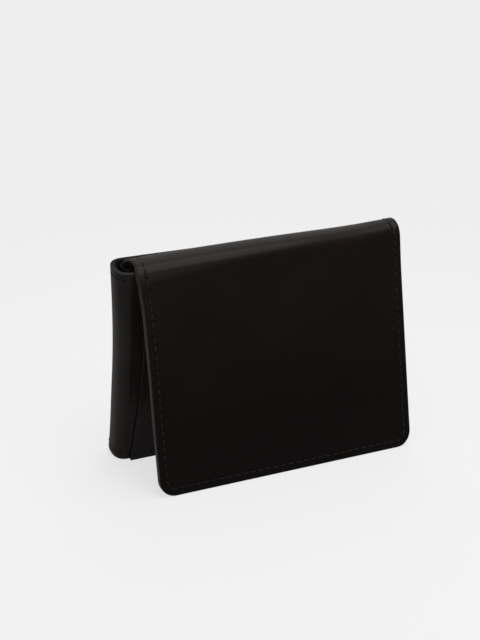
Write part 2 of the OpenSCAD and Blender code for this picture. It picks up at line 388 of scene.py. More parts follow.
# The flap and its fold are one run of leather, from the root that is sewn to the inner
# leaf, over the top, down to the floor. Its inner face is drawn as y and z from the fold's
# axis at the spine end, where it lies flattest, at the middle and at the open end, where it
# stands highest. The spine end adds how far its edge flares and how thick it is pressed
flapShape = {
    "hide": 1.6, "lining": 1.0, "board": 0.4, "gap": 0.02, "corner": 7.0, "wider": 0.6,
    "border": 5.5, "pared": 0.66, "paredRoom": 0.3,  # the board's, and the room pared for it in the hide
    "middleX": 20.0, "toSpine": 2.0, "toOpen": 3.2, "flareWidth": 5.0, "liningInset": 3.0, "insetWidth": 15.0,
    "spineEnd": [
        (6.6, -13.56, 5, 1), (5.3, -6.17, 5, 1), (5.9, -3.2, 3.5, 0.9), (6.7, -1.6, 0.8, 0.88),
        (7.0, -0.2, -2.0, 0.88), (6.3, 0.45, -1.3, 0.88), (4.9, 0.65, -0.5, 0.88), (3.2, 0.6, -0.1, 0.88),
        (1.4, 0.4, 0, 0.88), (-0.1, 0, -0.1, 0.88), (-1.6, -0.65, -0.65, 0.9), (-2.6, -2.1, -0.75, 0.95),
        (-4.3, -5.3, -0.4, 1), (-6.0, -11.2, -0.2, 1.08), (-7.6, -16.0, 0, 1.08), (-10.3, -27.5, 0, 1.05),
        (-12.2, -36.0, 0, 1.05), (-13.8, -44.5, 0, 1), (-16.1, -60.0, 0, 1), (-17.95, -70.0, 0, 1),
    ],
    "middle": [
        (6.6, -13.56), (5.3, -6.17), (5.0, -2.6), (5.3, -0.4), (5.0, 1.2), (3.9, 2.3), (2.4, 2.7),
        (0.8, 2.65), (-0.9, 2.5), (-2.5, 1.95), (-3.85, 1.1), (-4.5, -0.2), (-4.9, -2.4), (-5.85, -8.0),
        (-6.98, -14.0), (-9.55, -27.2), (-11.4, -36.0), (-13.05, -44.5), (-15.93, -60.0), (-17.86, -70.0),
    ],
    "openEnd": [
        (6.6, -13.56), (5.3, -6.17), (4.6, -2.2), (4.17, 0.23), (3.5, 2.5), (2.3, 4.0), (0.4, 4.7),
        (-1.1, 4.7), (-2.4, 4.3), (-3.4, 3.5), (-4.1, 2.35), (-4.6, 0.9), (-5.05, -2.0), (-5.95, -8.0),
        (-6.95, -14.0), (-9.47, -27.0), (-11.22, -36.0), (-12.87, -44.5), (-15.88, -60.0), (-17.83, -70.0),
    ],
    # points of a line: where the sewn leg ends, and where the front shoulder has turned down
    "legEnd": 3, "shoulder": 11,
    "pillow": 0.12, "pillowFrom": 3.8, "pillowWidth": 5.0,  # swelling of the leather inside its seam
    "edge": 0.7, "backEdge": 0.2, "liningEdge": 0.28, "boardEdge": 0.1, "toe": 10.0,
    "foldLines": (-12, 40), "foldPitch": 0.8,  # closer lines over the fold, from before its leg's end
    "insetBlend": 4.0, "liningDip": 0.6, "reach": 0.3,
    "bendFrom": (5.4, -5.2),  # y from the fold's axis, where the fold starts and ends
}
# The foot is where the flap's solid meets the floor
liningBox = vertsOf("flap_lining")
foot = ((liningBox[np.argmin(liningBox[:, 2])] - foldPoint) / mm)[1:]
lineSteps = 24


def smoothLine(points):
    # a Catmull-Rom curve through the points
    p = np.asarray(points, float)
    ext = np.vstack([2 * p[0] - p[1], p, 2 * p[-1] - p[-2]])
    rows = []
    for k in range(len(p) - 1):
        a, b, c, e = ext[k:k + 4]
        t = np.linspace(0, 1, lineSteps, endpoint=k == len(p) - 2)[:, None]
        rows.append(0.5 * (2 * b + (c - a) * t + (2 * a - 5 * b + 4 * c - e) * t ** 2
                           + (3 * b - a - 3 * c + e) * t ** 3))
    return np.vstack(rows)


# Where a line states no flare and thickness, they are 0 and 1. Runs are measured at the open end
flapLines = [smoothLine([tuple(q) + (0.0, 1.0)[len(q) - 2:] for q in flapShape[end] + [tuple(foot)]])
             for end in ("spineEnd", "middle", "openEnd")]
runAt = np.concatenate([[0], np.cumsum(np.linalg.norm(np.diff(flapLines[2][:, :2], axis=0), axis=1))])
flapRun = runAt[-1]
legLength, shoulderRun = (float(runAt[lineSteps * flapShape[point]]) for point in ("legEnd", "shoulder"))
flapLength = float(np.linalg.norm(foot - np.array(flapShape["openEnd"][flapShape["shoulder"]])))
boardTop = flapRun - flapLength + flapShape["border"]
foldEnds = [foldPoint + np.array([0, y, 0]) * mm for y in flapShape["bendFrom"]]


def flapLine(x, v):
    s = flapShape
    toSpine = np.clip((s["middleX"] - x) / (s["middleX"] - creaseX), 0, 1) ** s["toSpine"]
    toOpen = np.clip((x - s["middleX"]) / (openX - s["middleX"]), 0, 1) ** s["toOpen"]
    run = np.clip(v, 0, flapRun)
    return sum(np.stack([np.interp(run, runAt, line[:, k]) for k in range(4)], -1) * share[..., None]
               for line, share in zip(flapLines, (toSpine, 1 - toSpine - toOpen, toOpen)))


def flapPlace(depth0):
    # depth counts from the hide's outer face, which lies hide + lining over the inner face
    s = flapShape

    def place(x, v, w):
        x, v, w = np.broadcast_arrays(x, v, w)
        y, z, flare, press = np.moveaxis(flapLine(x, v), -1, 0)
        t = flapLine(x, np.minimum(v + s["reach"], flapRun)) - flapLine(x, np.maximum(v - s["reach"], 0))
        ty, tz = np.moveaxis(t[..., :2] / np.hypot(t[..., 0], t[..., 1])[..., None], -1, 0)
        out = (s["hide"] + s["lining"] - depth0 - w) * press
        # the outer layers reach further down, so that all stand on the floor
        toe = out * ty / np.where(np.abs(tz) > 0.5, tz, 1) * ramp((v - flapRun + s["toe"]) / s["toe"])
        x = x + flare * np.clip(1 - (x - creaseX) / s["flareWidth"], 0, 1) ** 2
        point = np.stack([x, y + tz * out + ty * toe, z - ty * out + tz * toe], -1) * mm + foldPoint
        point[..., 0] += wallet0[0] - foldPoint[0]
        return point
    return place


def makeFlap(s):
    endX = openX + s["wider"]
    xs = spread(endX - creaseX, True, True) + creaseX
    vs = spread(flapRun, True, True, [legLength + k * s["foldPitch"] for k in range(*s["foldLines"])])
    corners = cornersOf(creaseX, endX, 0, flapRun, s["corner"], bottom=False)

    def swell(x, v, d):
        return seamDip(d) + s["pillow"] * ramp((d - s["pillowFrom"]) / s["pillowWidth"])

    def recess(x, v, d):
        # the hide is pared away where the stiffening board lies
        room = s["paredRoom"]
        return np.where((d > s["border"] - room) & (v > boardTop - room), s["pared"], 0.0)

    def setIn(x, v, w):
        # the lining stops short of the hide's edge over the fold
        near = np.clip(1 - (x - creaseX) / s["insetWidth"], 0, 1) * ramp((shoulderRun - v) / s["insetBlend"])
        return flapPlace(s["hide"] + s["gap"])(x + s["liningInset"] * near, v, w)

    hide = makeSheet("flap_and_fold_leather", xs, vs, s["hide"], flapPlace(0), (True,) * 4, corners,
                     (coverMat, innerMat, edgeMat), (s["edge"], s["backEdge"]), swell, recess)
    settle(hide, ("front_half", "flap"), ("flap_leather", "fold_leather"), foldEnds)
    board = (creaseX + s["border"], openX - s["border"], boardTop, flapRun - s["border"])
    board = makeSheet("flap_stiffening_board", spread(board[1] - board[0], False, False) + board[0],
                      spread(board[3] - board[2], False, False) + board[2], s["board"],
                      flapPlace(s["hide"] - s["board"]), (True,) * 4,
                      cornersOf(*board, s["corner"] - s["border"] / 2, bottom=False), (boardMat,) * 3,
                      s["boardEdge"])
    settle(board, ("flap",), ("flap_board",))
    lining = makeSheet("flap_and_fold_lining", xs, vs, s["lining"] - s["gap"], setIn, (True,) * 4,
                       corners, (innerMat, innerMat, edgeMat), s["liningEdge"], None,
                       lambda x, v, d: seamDip(d) * s["liningDip"])
    settle(lining, ("front_half", "flap"), ("flap_lining", "fold_lining"), foldEnds)


makeFlap(flapShape)
print("flap and fold made, run", round(flapRun, 1))

# The back cover and the spine are one run of leather: across the back from the open side
# to the crease, then round the spine to the front crease
spineShape = {
    "share": 0.78, "waist": 2.0, "footIn": 0.95, "footHeight": 36.0, "corner": 8.0,
    "coverThick": 1.2, "liningThick": 0.5, "leafThick": 0.8, "leafBulge": 3.0,
    "liningGap": 0.03, "liningPared": 0.04, "reach": 0.15,
    "frontLines": [0.3, 0.6, 0.9, 1.2, 1.5, 2.0, 3.0], "frontCrease": (1.5, 0),
}
creaseGap = 0.3


def uPoint(y0, y1, bulgeOut, angle):
    # the spine's U, by its angle from the front crease, at a quarter turn back, to the back one
    c, s = np.maximum(np.cos(angle), 0), np.sin(angle)
    share = spineShape["share"]
    return -bulgeOut * c ** share, (y0 + y1) / 2 + (y1 - y0) / 2 * np.sign(s) * np.abs(s) ** share


def uRun(y0, y1, bulgeOut, count=120):
    # angles of the U with their runs, at the height where it bulges most
    angles = np.linspace(math.pi / 2, -math.pi / 2, count)
    x, y = uPoint(y0, y1, bulgeOut, angles)
    return angles, np.concatenate([[0], np.cumsum(np.hypot(np.diff(x), np.diff(y)))])


def wrapPlace(y0, y1, bulgeOut, depth0):
    # u runs from the open side of the back half, round the spine, to the open side of the front half
    angles, runs = uRun(y0, y1, bulgeOut)
    flatRun, wrapRun = openX - creaseX + creaseGap, runs[-1]

    def line(u, z):
        s = spineShape
        waist = bulgeOut / bulge * (s["waist"] * np.sin(np.pi * np.clip(z / coverHeight, 0, 1))
                                    + s["footIn"] * ramp(1 - z / s["footHeight"]))
        x, y = uPoint(y0, y1, bulgeOut - waist, np.interp(u - flatRun, runs, angles))
        past = u - flatRun - wrapRun
        x = np.where(u <= flatRun, openX - u, creaseX - creaseGap + np.where(past >= 0, past, x))
        return x, np.where(u <= flatRun, y1, np.where(past >= 0, y0, y))

    def place(u, v, w):
        u, v, w = np.broadcast_arrays(u, v, w)
        x, y = line(u, v)
        reach = spineShape["reach"]
        step = np.subtract(line(u + reach, v), line(u - reach, v))
        alongX, alongY = step / np.maximum(np.hypot(*step), 1e-9)
        return walletPoint(x - alongY * (depth0 + w), y + alongX * (depth0 + w), v)
    return place, flatRun, wrapRun


def creaseEnds(inHalf, inSpine):
    # two points by the crease: one so far into the half, one so far into the spine
    return [walletPoint(x, 0, 0) for x in (creaseX + inHalf, creaseX - creaseGap - inSpine)]


def wrapSheet(name, nodes, part, v):
    place, flatRun, wrapRun = wrapPlace(*v["y"], v["bulge"], v["depth"])
    front = part == "front"
    middle = flatRun + wrapRun / 2
    length = flatRun + wrapRun if part == "whole" else middle
    offset = middle if front else 0
    turns = [flatRun + t for t in (-2, -1, *(k * wrapRun / 32 for k in range(33)), wrapRun + 1, wrapRun + 2)]
    us = spread(length, not front, front, [t - offset for t in turns if 0 < t - offset < length])
    corners = cornersOf(0, length, 0, v["height"], spineShape["corner"], not front, front)
    sheet = makeSheet(name, us, spread(v["height"], True, True), v["thick"],
                      lambda u, z, w: place(u + offset, z, w),
                      (not front, front, True, True), corners, v["mats"], v["rounding"],
                      (lambda x, z, d: seamDip(d) * v["seam"]) if v["seam"] else None)
    ends = creaseEnds(*v["crease"])
    if front:
        return settle(sheet, ("spine", "front_half"), nodes, ends[::-1])
    return settle(sheet, ("back_half", "spine"), nodes, ends)


s = spineShape
coverRun = {"y": (frontY, backY), "bulge": bulge, "depth": 0, "thick": s["coverThick"], "height": coverHeight,
            "mats": leathers, "slot": "cover_leather", "seam": 1, "rounding": (0.6, 0.2), "crease": (1.2, 0.6)}
liningRun = dict(coverRun, depth=s["coverThick"] + s["liningGap"], thick=s["liningThick"] - s["liningPared"],
                 mats=linings, slot="lining_fabric", seam=0, rounding=0.3, crease=(1.5, 1.2))
leafRun = dict(coverRun, y=(layers["front_leaf"][0], layers["back_leaf"][0] + s["leafThick"]),
               bulge=s["leafBulge"], thick=s["leafThick"], height=leafTop, mats=inners,
               slot="inner_leather", seam=0.5, rounding=0.3, crease=(3, 1.5))
wrapSheet("back_and_spine_leather", ("back_cover", "spine_leather"), "whole", coverRun)
# Each lining is cut as half the cover's run, from an open side to the middle of the spine
for name, nodes, part in (("back_and_spine_lining", ("back_lining", "spine_lining"), "rear"),
                          ("front_lining_fabric", ("front_lining",), "front")):
    lining = wrapSheet(name, nodes, part, liningRun)
wrapSheet("back_and_spine_leaf", ("back_leaf", "spine_leaf"), "rear", leafRun)
wrapSheet("front_leaf_leather", ("front_leaf",), "front", leafRun)


def flatPlace(y0, facing=1):
    # facing 1: the outer face looks to the front; -1: to the back
    return lambda x, z, w: walletPoint(x, y0 + facing * w, z)


def makePanel(name, node, box, y0, thick, r, bodies, mats, facing=1, free=(False, True, True, True),
              relief=None, shape=None, rounding=0.3, square=False, sewn=None, extra=(), ends=None):
    # box: left, right, bottom and top; square: the corners beside the spine stay square
    x0, x1, z0, z1 = box
    flat = flatPlace(y0, facing)
    piece = makeSheet(name, spread(x1 - x0, free[0], free[1], extra) + x0,
                      spread(z1 - z0, True, True) + z0, thick,
                      (lambda x, z, w: flat(*shape(x, z), w)) if shape else flat, free,
                      cornersOf(*box, r, left=free[0] and not square), mats, rounding, relief, None, sewn)
    return settle(piece, bodies, (node,), ends)


# The slip pocket's free edge is drawn away from the spine as it rises: height and set-back
slipDrawn = [(0, -0.3), (2, -0.1), (14, 1.2), (24, 2.3), (34, 3.1), (50, 3.9), (64, 4.0), (91, 3.6)]
slipWidth = 25.0


def slipShape(x, z):
    return x + np.interp(z, *zip(*slipDrawn)) * np.clip((creaseX + slipWidth - x) / slipWidth, 0, 1), z


makePanel("slip_pocket_leather", "slip_pocket_panel", (creaseX, openX, 0, slipTop), 0, s["coverThick"],
          s["corner"], ("front_half",), leathers, free=(True,) * 4, relief=plainSeam,
          shape=slipShape, square=True, sewn=(False, True, True, True))
makePanel("front_cover_leather", "front_cover", (creaseX - creaseGap, openX, 0, coverHeight), frontY,
          s["coverThick"], s["corner"], ("spine", "front_half"), leathers, relief=plainSeam,
          extra=s["frontLines"], ends=creaseEnds(*s["frontCrease"])[::-1])
print("front panels made")

# Card pockets, each with a shallow thumb scoop in its mouth
pocketShape = {
    "thick": 0.7, "corner": 2.0, "rounding": 0.25, "scoop": 2.5, "scoopWidth": 64.0, "scoopBlend": 0.8,
    "seamNearer": 1.3, "seamDip": 0.4,  # nearer the edge than a cover's seam, and that share as deep
}
pocketNodes = [("back_card_pocket_rear", "back_half", 1), ("back_card_pocket_middle", "back_half", 1),
               ("back_card_pocket_front", "back_half", 1), ("front_card_pocket_rear", "front_half", -1),
               ("front_card_pocket_front", "front_half", -1)]


def pocketFace(node, facing):
    return layers[node][0] if facing > 0 else layers[node][1]


def scoopAt(x):
    # the scoop is a shallow arc whose ends run smoothly into the straight mouth
    p = pocketShape
    t = np.clip(1 - np.abs(x) / (p["scoopWidth"] / 2), 0, 1)
    return p["scoop"] * (1 - (1 - t) ** 2) * np.clip(t / p["scoopBlend"] * 3, 0, 1)


for node, body, facing in pocketNodes:
    z0, z1 = heights[node]

    def scooped(x, z, z0=z0, z1=z1):
        return x, z - scoopAt(x) * np.clip((z - z0) / (z1 - z0), 0, 1) ** 3

    p = pocketShape
    makePanel(node + "_leather", node, (*spanOf(node, across), z0, z1), pocketFace(node, facing),
              p["thick"], p["corner"], (body,), inners, facing, (True,) * 4,
              lambda x, z, d: seamDip(d + p["seamNearer"]) * p["seamDip"], scooped, p["rounding"])


# Window frame: one pane of leather cut out round the clear film
windowLook = {
    "rimX": 10.0, "rimZ": 3.5, "corner": 2.0, "round": 0.25, "cornerSteps": 8, "sideSteps": 14,
    "steps": np.array([0, 0.02, 0.06, 0.12, 0.25, 0.4, 0.5, 0.6, 0.75, 0.88, 0.94, 0.98, 1]),
}
windowBox = (*spanOf("window_frame", across), *heights["window_frame"])


def rectLoop(insetX, insetZ, r):
    # a loop round the window frame's outline, so far inside it, with rounded corners
    v = windowLook
    x0, x1, z0, z1 = np.add(windowBox, (insetX, -insetX, insetZ, -insetZ))
    turns = [(x1 - r, z1 - r), (x0 + r, z1 - r), (x0 + r, z0 + r), (x1 - r, z0 + r)]
    loop = []
    for k, (centre, ahead) in enumerate(zip(turns, turns[1:] + turns[:1])):
        for a in np.linspace(math.pi / 2 * k, math.pi / 2 * (k + 1), v["cornerSteps"] + 1):
            side = np.array([math.cos(a), math.sin(a)]) * r
            loop.append(centre + side)
        loop += [loop[-1] + (ahead + side - loop[-1]) * j / v["sideSteps"] for j in range(1, v["sideSteps"])]
    return np.array(loop)


def makeWindowFrame(v):
    outerLoop, innerLoop = rectLoop(0, 0, v["corner"]), rectLoop(v["rimX"], v["rimZ"], v["corner"])
    steps = v["steps"]
    n, m = len(outerLoop), len(steps)
    ring = outerLoop[:, None] + (innerLoop - outerLoop)[:, None] * steps[None, :, None]
    width = np.linalg.norm(innerLoop - outerLoop, axis=1)[:, None]
    fall = edgeFall(np.minimum(steps[None], 1 - steps[None]) * width, v["round"])
    yIn, yOut = layers["window_frame"]
    outer = walletPoint(ring[..., 0], yOut - fall, ring[..., 1])
    inner = walletPoint(ring[..., 0], yIn + fall, ring[..., 1])
    faces, kinds = [], []
    for i in range(n):
        a0, b0 = i * m, (i + 1) % n * m
        for j in range(m - 1):
            a, b = a0 + j, b0 + j
            faces += [(a, b, b + 1, a + 1), (n * m + a + 1, n * m + b + 1, n * m + b, n * m + a)]
            kinds += [0, 1]
        faces += [(b0, a0, n * m + a0, n * m + b0),
                  (a0 + m - 1, b0 + m - 1, n * m + b0 + m - 1, n * m + a0 + m - 1)]
        kinds += [2, 2]
    piece = buildMesh("window_frame_leather", outer, inner, ring.reshape(-1, 2), faces, kinds, inners)
    settle(piece, ("front_half",), ("window_frame",))


makeWindowFrame(windowLook)

# Clear film: flexible PVC, slightly wavy, so that it glints
clearFilm = {"color": "#eef2f4", "rough": 0.08, "ior": 1.53, "alpha": 0.35, "waves": 60.0, "depth": 0.6}


def makeFilm(name, v):
    mat, tree = newMaterial(name)
    wave = addNoise(tree, objectPlace(tree), 1 / v["waves"], 1.0)
    setSkin(tree, {"Normal": addBump(tree, wave, v["depth"], 0.5), "Base Color": linear(v["color"]),
                   "Roughness": v["rough"], "IOR": v["ior"], "Transmission Weight": 1.0, "Alpha": v["alpha"]})
    return mat


filmMat = makeFilm("clear_pvc_film", clearFilm)
for slotOfFilm in frame["nodes"]["window_film"].material_slots:
    slotOfFilm.material = filmMat
print("card pockets and window made")

# Hems: plies of leather sewn along the bottom and the open side, which close the
# note compartments and show as fine lines on the open side
hemLook = {"corner": 8.0, "rounding": 0.22, "gap": 0.04, "pitch": 3.0,
           "frontInsets": (0.0, 0.12, 0.05, 0.18), "backInsets": (0.1,),
           "lines": [0, 0.03, 0.1, 0.25, 0.6, 1.5, 2.4, 2.75, 2.9, 2.97, 3.0]}


def hemPlace(y0, height):
    # s runs along the bottom, round the corner and up the open side; t runs inwards
    r = hemLook["corner"]
    bottomRun, arcRun = openX - creaseX - r, math.pi / 2 * r

    def place(s, t, w):
        s, t, w = np.broadcast_arrays(s, t, w)
        a = np.clip((s - bottomRun) / r, 0, math.pi / 2)
        x = np.where(s < bottomRun, creaseX + s, openX - r + (r - t) * np.sin(a))
        z = np.where(s < bottomRun, t, r - (r - t) * np.cos(a))
        # the top end is cut along the half's rounded corner
        top = height - r + np.sqrt(r * r - (r - np.clip(t, 0, r)) ** 2)
        past = np.maximum(s - bottomRun - arcRun, 0) * (top - r) / (height - r)
        return walletPoint(x, y0 + w, z + past)
    return place, bottomRun, bottomRun + arcRun + height - r


def joinPieces(name, pieces):
    for o in bpy.context.selected_objects:
        o.select_set(False)
    for o in pieces:
        o.select_set(True)
    bpy.context.view_layer.objects.active = pieces[0]
    if len(pieces) > 1:
        bpy.ops.object.join()
    pieces[0].name = pieces[0].data.name = name
    return pieces[0]


def makeHems(name, body, y0, y1, height, insets):
    # one ply for each inset, so that their edges don't line up
    h = hemLook
    thick = (y1 - y0) / len(insets)
    made = []
    for k, inset in enumerate(insets):
        place, bottomRun, run = hemPlace(y0 + k * thick, height)
        turns = [bottomRun + math.pi / 2 * h["corner"] * j / 10 for j in range(11)]
        made.append(makeSheet(f"{name}_{k}", spread(run, True, True, turns, h["pitch"]),
                              np.array(h["lines"]) + inset, thick - h["gap"], place, (True,) * 4,
                              (), inners, h["rounding"]))
    settle(joinPieces(name, made), (body,))


dividerShape = {"gap": 1.4, "thick": 0.6, "rounding": 0.2}
d = dividerShape
dividerTop = heights["note_divider"][1]
divider = makePanel("note_divider_fabric", "note_divider", (creaseX, openX, 0, dividerTop),
                    layers["front_lining"][1] + d["gap"], d["thick"], spineShape["corner"],
                    ("front_half",), linings, 1, (True,) * 4, rounding=d["rounding"])
makeHems("front_hem_plies", "front_half", *layers["note_divider"], dividerTop,
         hemLook["frontInsets"])
makeHems("back_hem_plies", "back_half", layers["back_leaf"][0] + spineShape["leafThick"],
         layers["back_leaf"][1], heights["back_leaf"][1], hemLook["backInsets"])
print("divider and hems made")

# Seams: lock stitch in bonded black thread, with the needle's holes between the stitches
seamLook = {
    "pitch": 3.6, "spinePitch": 3.9, "pocketPitch": 3.4, "windowPitch": 3.0,
    "length": 2.6, "thread": 0.46, "arch": 0.17, "loose": (0.93, 1.06), "seed": 7,
    "hole": 1.25, "holeWidth": 0.75, "holeDepth": 0.12,  # the last two as shares of its length
    "sink": 0.04,  # how much less deep a stitch lies than the seam's dip
    "leafDepth": 0.03, "pocketDepth": 0.02,  # under the leather's face, where no dip is drawn
    "pocketInset": 2.0, "windowInset": 1.7,
    # how far each row keeps from where it starts and where it ends
    "slipEnds": (1.5, 5.5), "leafEnds": (1, 1), "pocketEnds": (0.6, 1.2), "spineEnd": 0.5,
    "dive": -1.1, "rise": 2.6, "steps": 6, "sides": 6,  # the stitch's ends and middle in arches, its facets
    "reach": 0.4,
}
# Bonded polyester: two plies twisted together, so a stitch shows short slanted bands, their colour painted
# lighter on the crowns and darker between the plies as painted glint and shade
bondedThread = {"low": "#0b0a0a", "high": "#1e1a18", "twist": 9.0, "depth": 0.05, "rough": 0.5,
                "specular": 0.12}


def makeThreadMat(name, v):
    mat, tree = newMaterial(name)
    along, around = (addNode(tree, "ShaderNodeAttribute", attribute_name=label).outputs["Fac"]
                     for label in ("plyAlong", "plyRound"))
    turns = calc(tree, "MULTIPLY_ADD", along, v["twist"], around)
    ridge = calc(tree, "SINE", calc(tree, "MULTIPLY", turns, 2 * math.pi))
    setSkin(tree, {
        # painted glint and shade: the colour is lighter on the plies' crowns and darker in the grooves
        "Base Color": mixTone(tree, remap(tree, ridge, (-1.0, 1.0)), v["low"], v["high"]),
        "Normal": addBump(tree, ridge, v["depth"], 0.9),
        "Roughness": v["rough"], "Specular IOR Level": v["specular"],
    })
    return mat


def seamTree(name, mat, isThread):
    tree = bpy.data.node_groups.new(name, "GeometryNodeTree")
    face = tree.interface
    for side in ("INPUT", "OUTPUT"):
        face.new_socket("Geometry", in_out=side, socket_type="NodeSocketGeometry")
    for label in ("Length", "Width", "Arch"):
        face.new_socket(label, in_out="INPUT", socket_type="NodeSocketFloat")
    face.new_socket("Seed", in_out="INPUT", socket_type="NodeSocketInt")
    given = addNode(tree, "NodeGroupInput").outputs
    half = calc(tree, "MULTIPLY", given["Length"], 0.5)
    if isThread:
        # the stitch rises in an arch and sinks into the leather at both ends
        v, arch = seamLook, given["Arch"]
        start, sink, rise = (calc(tree, "MULTIPLY", size, share)
                             for size, share in ((half, -1.0), (arch, v["dive"]), (arch, v["rise"])))
        line = addNode(tree, "GeometryNodeCurveQuadraticBezier", {
            "Resolution": v["steps"],
            "Start": addNode(tree, "ShaderNodeCombineXYZ", {"X": start, "Z": sink}),
            "Middle": addNode(tree, "ShaderNodeCombineXYZ", {"Z": rise}),
            "End": addNode(tree, "ShaderNodeCombineXYZ", {"X": half, "Z": sink}),
        })
        radius = calc(tree, "MULTIPLY", given["Width"], 0.5)
        ring = addNode(tree, "GeometryNodeCurvePrimitiveCircle", {"Radius": radius, "Resolution": v["sides"]})
        where = addNode(tree, "GeometryNodeSplineParameter").outputs["Factor"]
        line, ring = (addNode(tree, "GeometryNodeStoreNamedAttribute",
                              {"Geometry": curve, "Value": where, "Name": label}, domain="POINT")
                      for curve, label in ((line, "plyAlong"), (ring, "plyRound")))
        shape = addNode(tree, "GeometryNodeCurveToMesh",
                        {"Curve": line, "Profile Curve": ring, "Fill Caps": True})
    else:
        ball = addNode(tree, "GeometryNodeMeshUVSphere", {"Radius": half, "Segments": 8, "Rings": 4})
        flat = addNode(tree, "ShaderNodeCombineXYZ", {"X": 1.0, "Y": given["Width"], "Z": given["Arch"]})
        shape = addNode(tree, "GeometryNodeTransform", {"Geometry": ball, "Scale": flat})
    along, out = (addNode(tree, "GeometryNodeInputNamedAttribute", {"Name": label}, data_type="FLOAT_VECTOR")
                  for label in ("along", "out"))
    turn = addNode(tree, "FunctionNodeAlignRotationToVector", {"Vector": along}, axis="X")
    turn = addNode(tree, "FunctionNodeAlignRotationToVector", {"Rotation": turn, "Vector": out},
                   axis="Z", pivot_axis="X")
    low, high = seamLook["loose"]
    loose = addNode(tree, "FunctionNodeRandomValue", {2: low, 3: high, "Seed": given["Seed"]}, data_type="FLOAT")
    placed = addNode(tree, "GeometryNodeInstanceOnPoints", {"Points": given["Geometry"], "Instance": shape,
                                                            "Rotation": turn, "Scale": loose.outputs[1]})
    real = addNode(tree, "GeometryNodeRealizeInstances", {"Geometry": placed})
    smooth = addNode(tree, "GeometryNodeSetShadeSmooth", {"Geometry": real})
    dressed = addNode(tree, "GeometryNodeSetMaterial", {"Geometry": smooth, "Material": mat})
    addNode(tree, "NodeGroupOutput", {"Geometry": dressed})
    return tree


threadTree = seamTree("lock_stitches", makeThreadMat("bonded_polyester_thread", bondedThread), True)
holeTree = seamTree("needle_holes", holeMat, False)


def seamRow(place, path, pitch, surface=0.0):
    # even stitches along a path drawn on the flat sheet, and the holes between them, each
    # with its place, its run and its outward side
    path = np.asarray(path, float)
    step = np.concatenate([[0], np.cumsum(np.linalg.norm(np.diff(path, axis=0), axis=1))])
    count = max(2, round(step[-1] / pitch))
    reach = seamLook["reach"]
    rows = []
    for shift in (0.5, 0.0):
        mid = (np.arange(count) + shift) * step[-1] / count
        at = [[np.interp(m, step, path[:, k]) for k in (0, 1)] for m in (mid - reach, mid, mid + reach)]
        a, p, b = (place(*q, surface) for q in at)
        out = p - place(*at[1], surface + reach)
        rows.append((p, *(d / np.linalg.norm(d, axis=1)[:, None] for d in (b - a, out))))
    return rows


def runTree(name, tree, rows, values):
    points, along, out = (np.concatenate([r[k] for r in rows]) for k in range(3))
    mesh = bpy.data.meshes.new(name)
    mesh.from_pydata(points.tolist(), [], [])
    for label, data in (("along", along), ("out", out)):
        layer = mesh.attributes.new(label, "FLOAT_VECTOR", "POINT")
        layer.data.foreach_set("vector", data.astype(np.float32).ravel())
    maker = bpy.data.objects.new(name, mesh)
    bpy.context.scene.collection.objects.link(maker)
    mod = maker.modifiers.new("seam", "NODES")
    mod.node_group = tree
    for item in tree.interface.items_tree:
        if item.item_type == "SOCKET" and item.in_out == "INPUT" and item.name in values:
            mod[item.identifier] = values[item.name]
    ready = bpy.data.meshes.new_from_object(maker.evaluated_get(bpy.context.evaluated_depsgraph_get()))
    maker.modifiers.remove(mod)
    maker.data = ready
    return maker


def makeSeam(name, rows, bodies, ends=None):
    v = seamLook
    stitches, holes = (runTree(name + tail, tree, [r[k] for r in rows],
                               {"Length": long * mm, "Width": wide, "Arch": high, "Seed": v["seed"]})
                       for k, tail, tree, long, wide, high in (
                           (0, "", threadTree, v["length"], v["thread"] * mm, v["arch"] * mm),
                           (1, "_holes", holeTree, v["hole"], v["holeWidth"], v["holeDepth"])))
    settle(joinPieces(name, [stitches, holes]), bodies, (), ends)


def seamPath(points, r, steps=8):
    # straight runs with rounded turns of radius r at the inner points
    pts = [np.array(p, float) for p in points]
    path = [pts[0]]
    for a, b, c in zip(pts, pts[1:], pts[2:]):
        inDir, outDir = (b - a) / np.linalg.norm(b - a), (c - b) / np.linalg.norm(c - b)
        for t in np.linspace(0, math.pi / 2, steps + 1):
            path.append(b - inDir * r * (1 - math.sin(t)) + outDir * r * (1 - math.cos(t)))
    return np.array(path + [pts[-1]])


def pocketSeams(stack):
    # the side seams step down over the pockets; the nearest pocket carries each length
    inset, pitch, surface = (seamLook[k] for k in ("pocketInset", "pocketPitch", "pocketDepth"))
    facing = stack[0][2]
    tops = sorted([(heights[n][1], pocketFace(n, facing)) for n, body, f in stack], reverse=True)
    x0, x1 = spanOf(stack[0][0], across)
    low = heights[stack[0][0]][0] + inset
    over, under = seamLook["pocketEnds"]
    rows = []
    for (top, y), bottom in zip(tops, [t for t, y in tops[1:]] + [low]):
        for x in (x0 + inset, x1 - inset):
            rows.append(seamRow(flatPlace(y, facing), [(x, bottom + over), (x, top - under)], pitch, surface))
    bottomRow = [(x0 + inset, low), (x1 - inset, low)]
    rows.append(seamRow(flatPlace(tops[-1][1], facing), bottomRow, pitch, surface))
    return rows


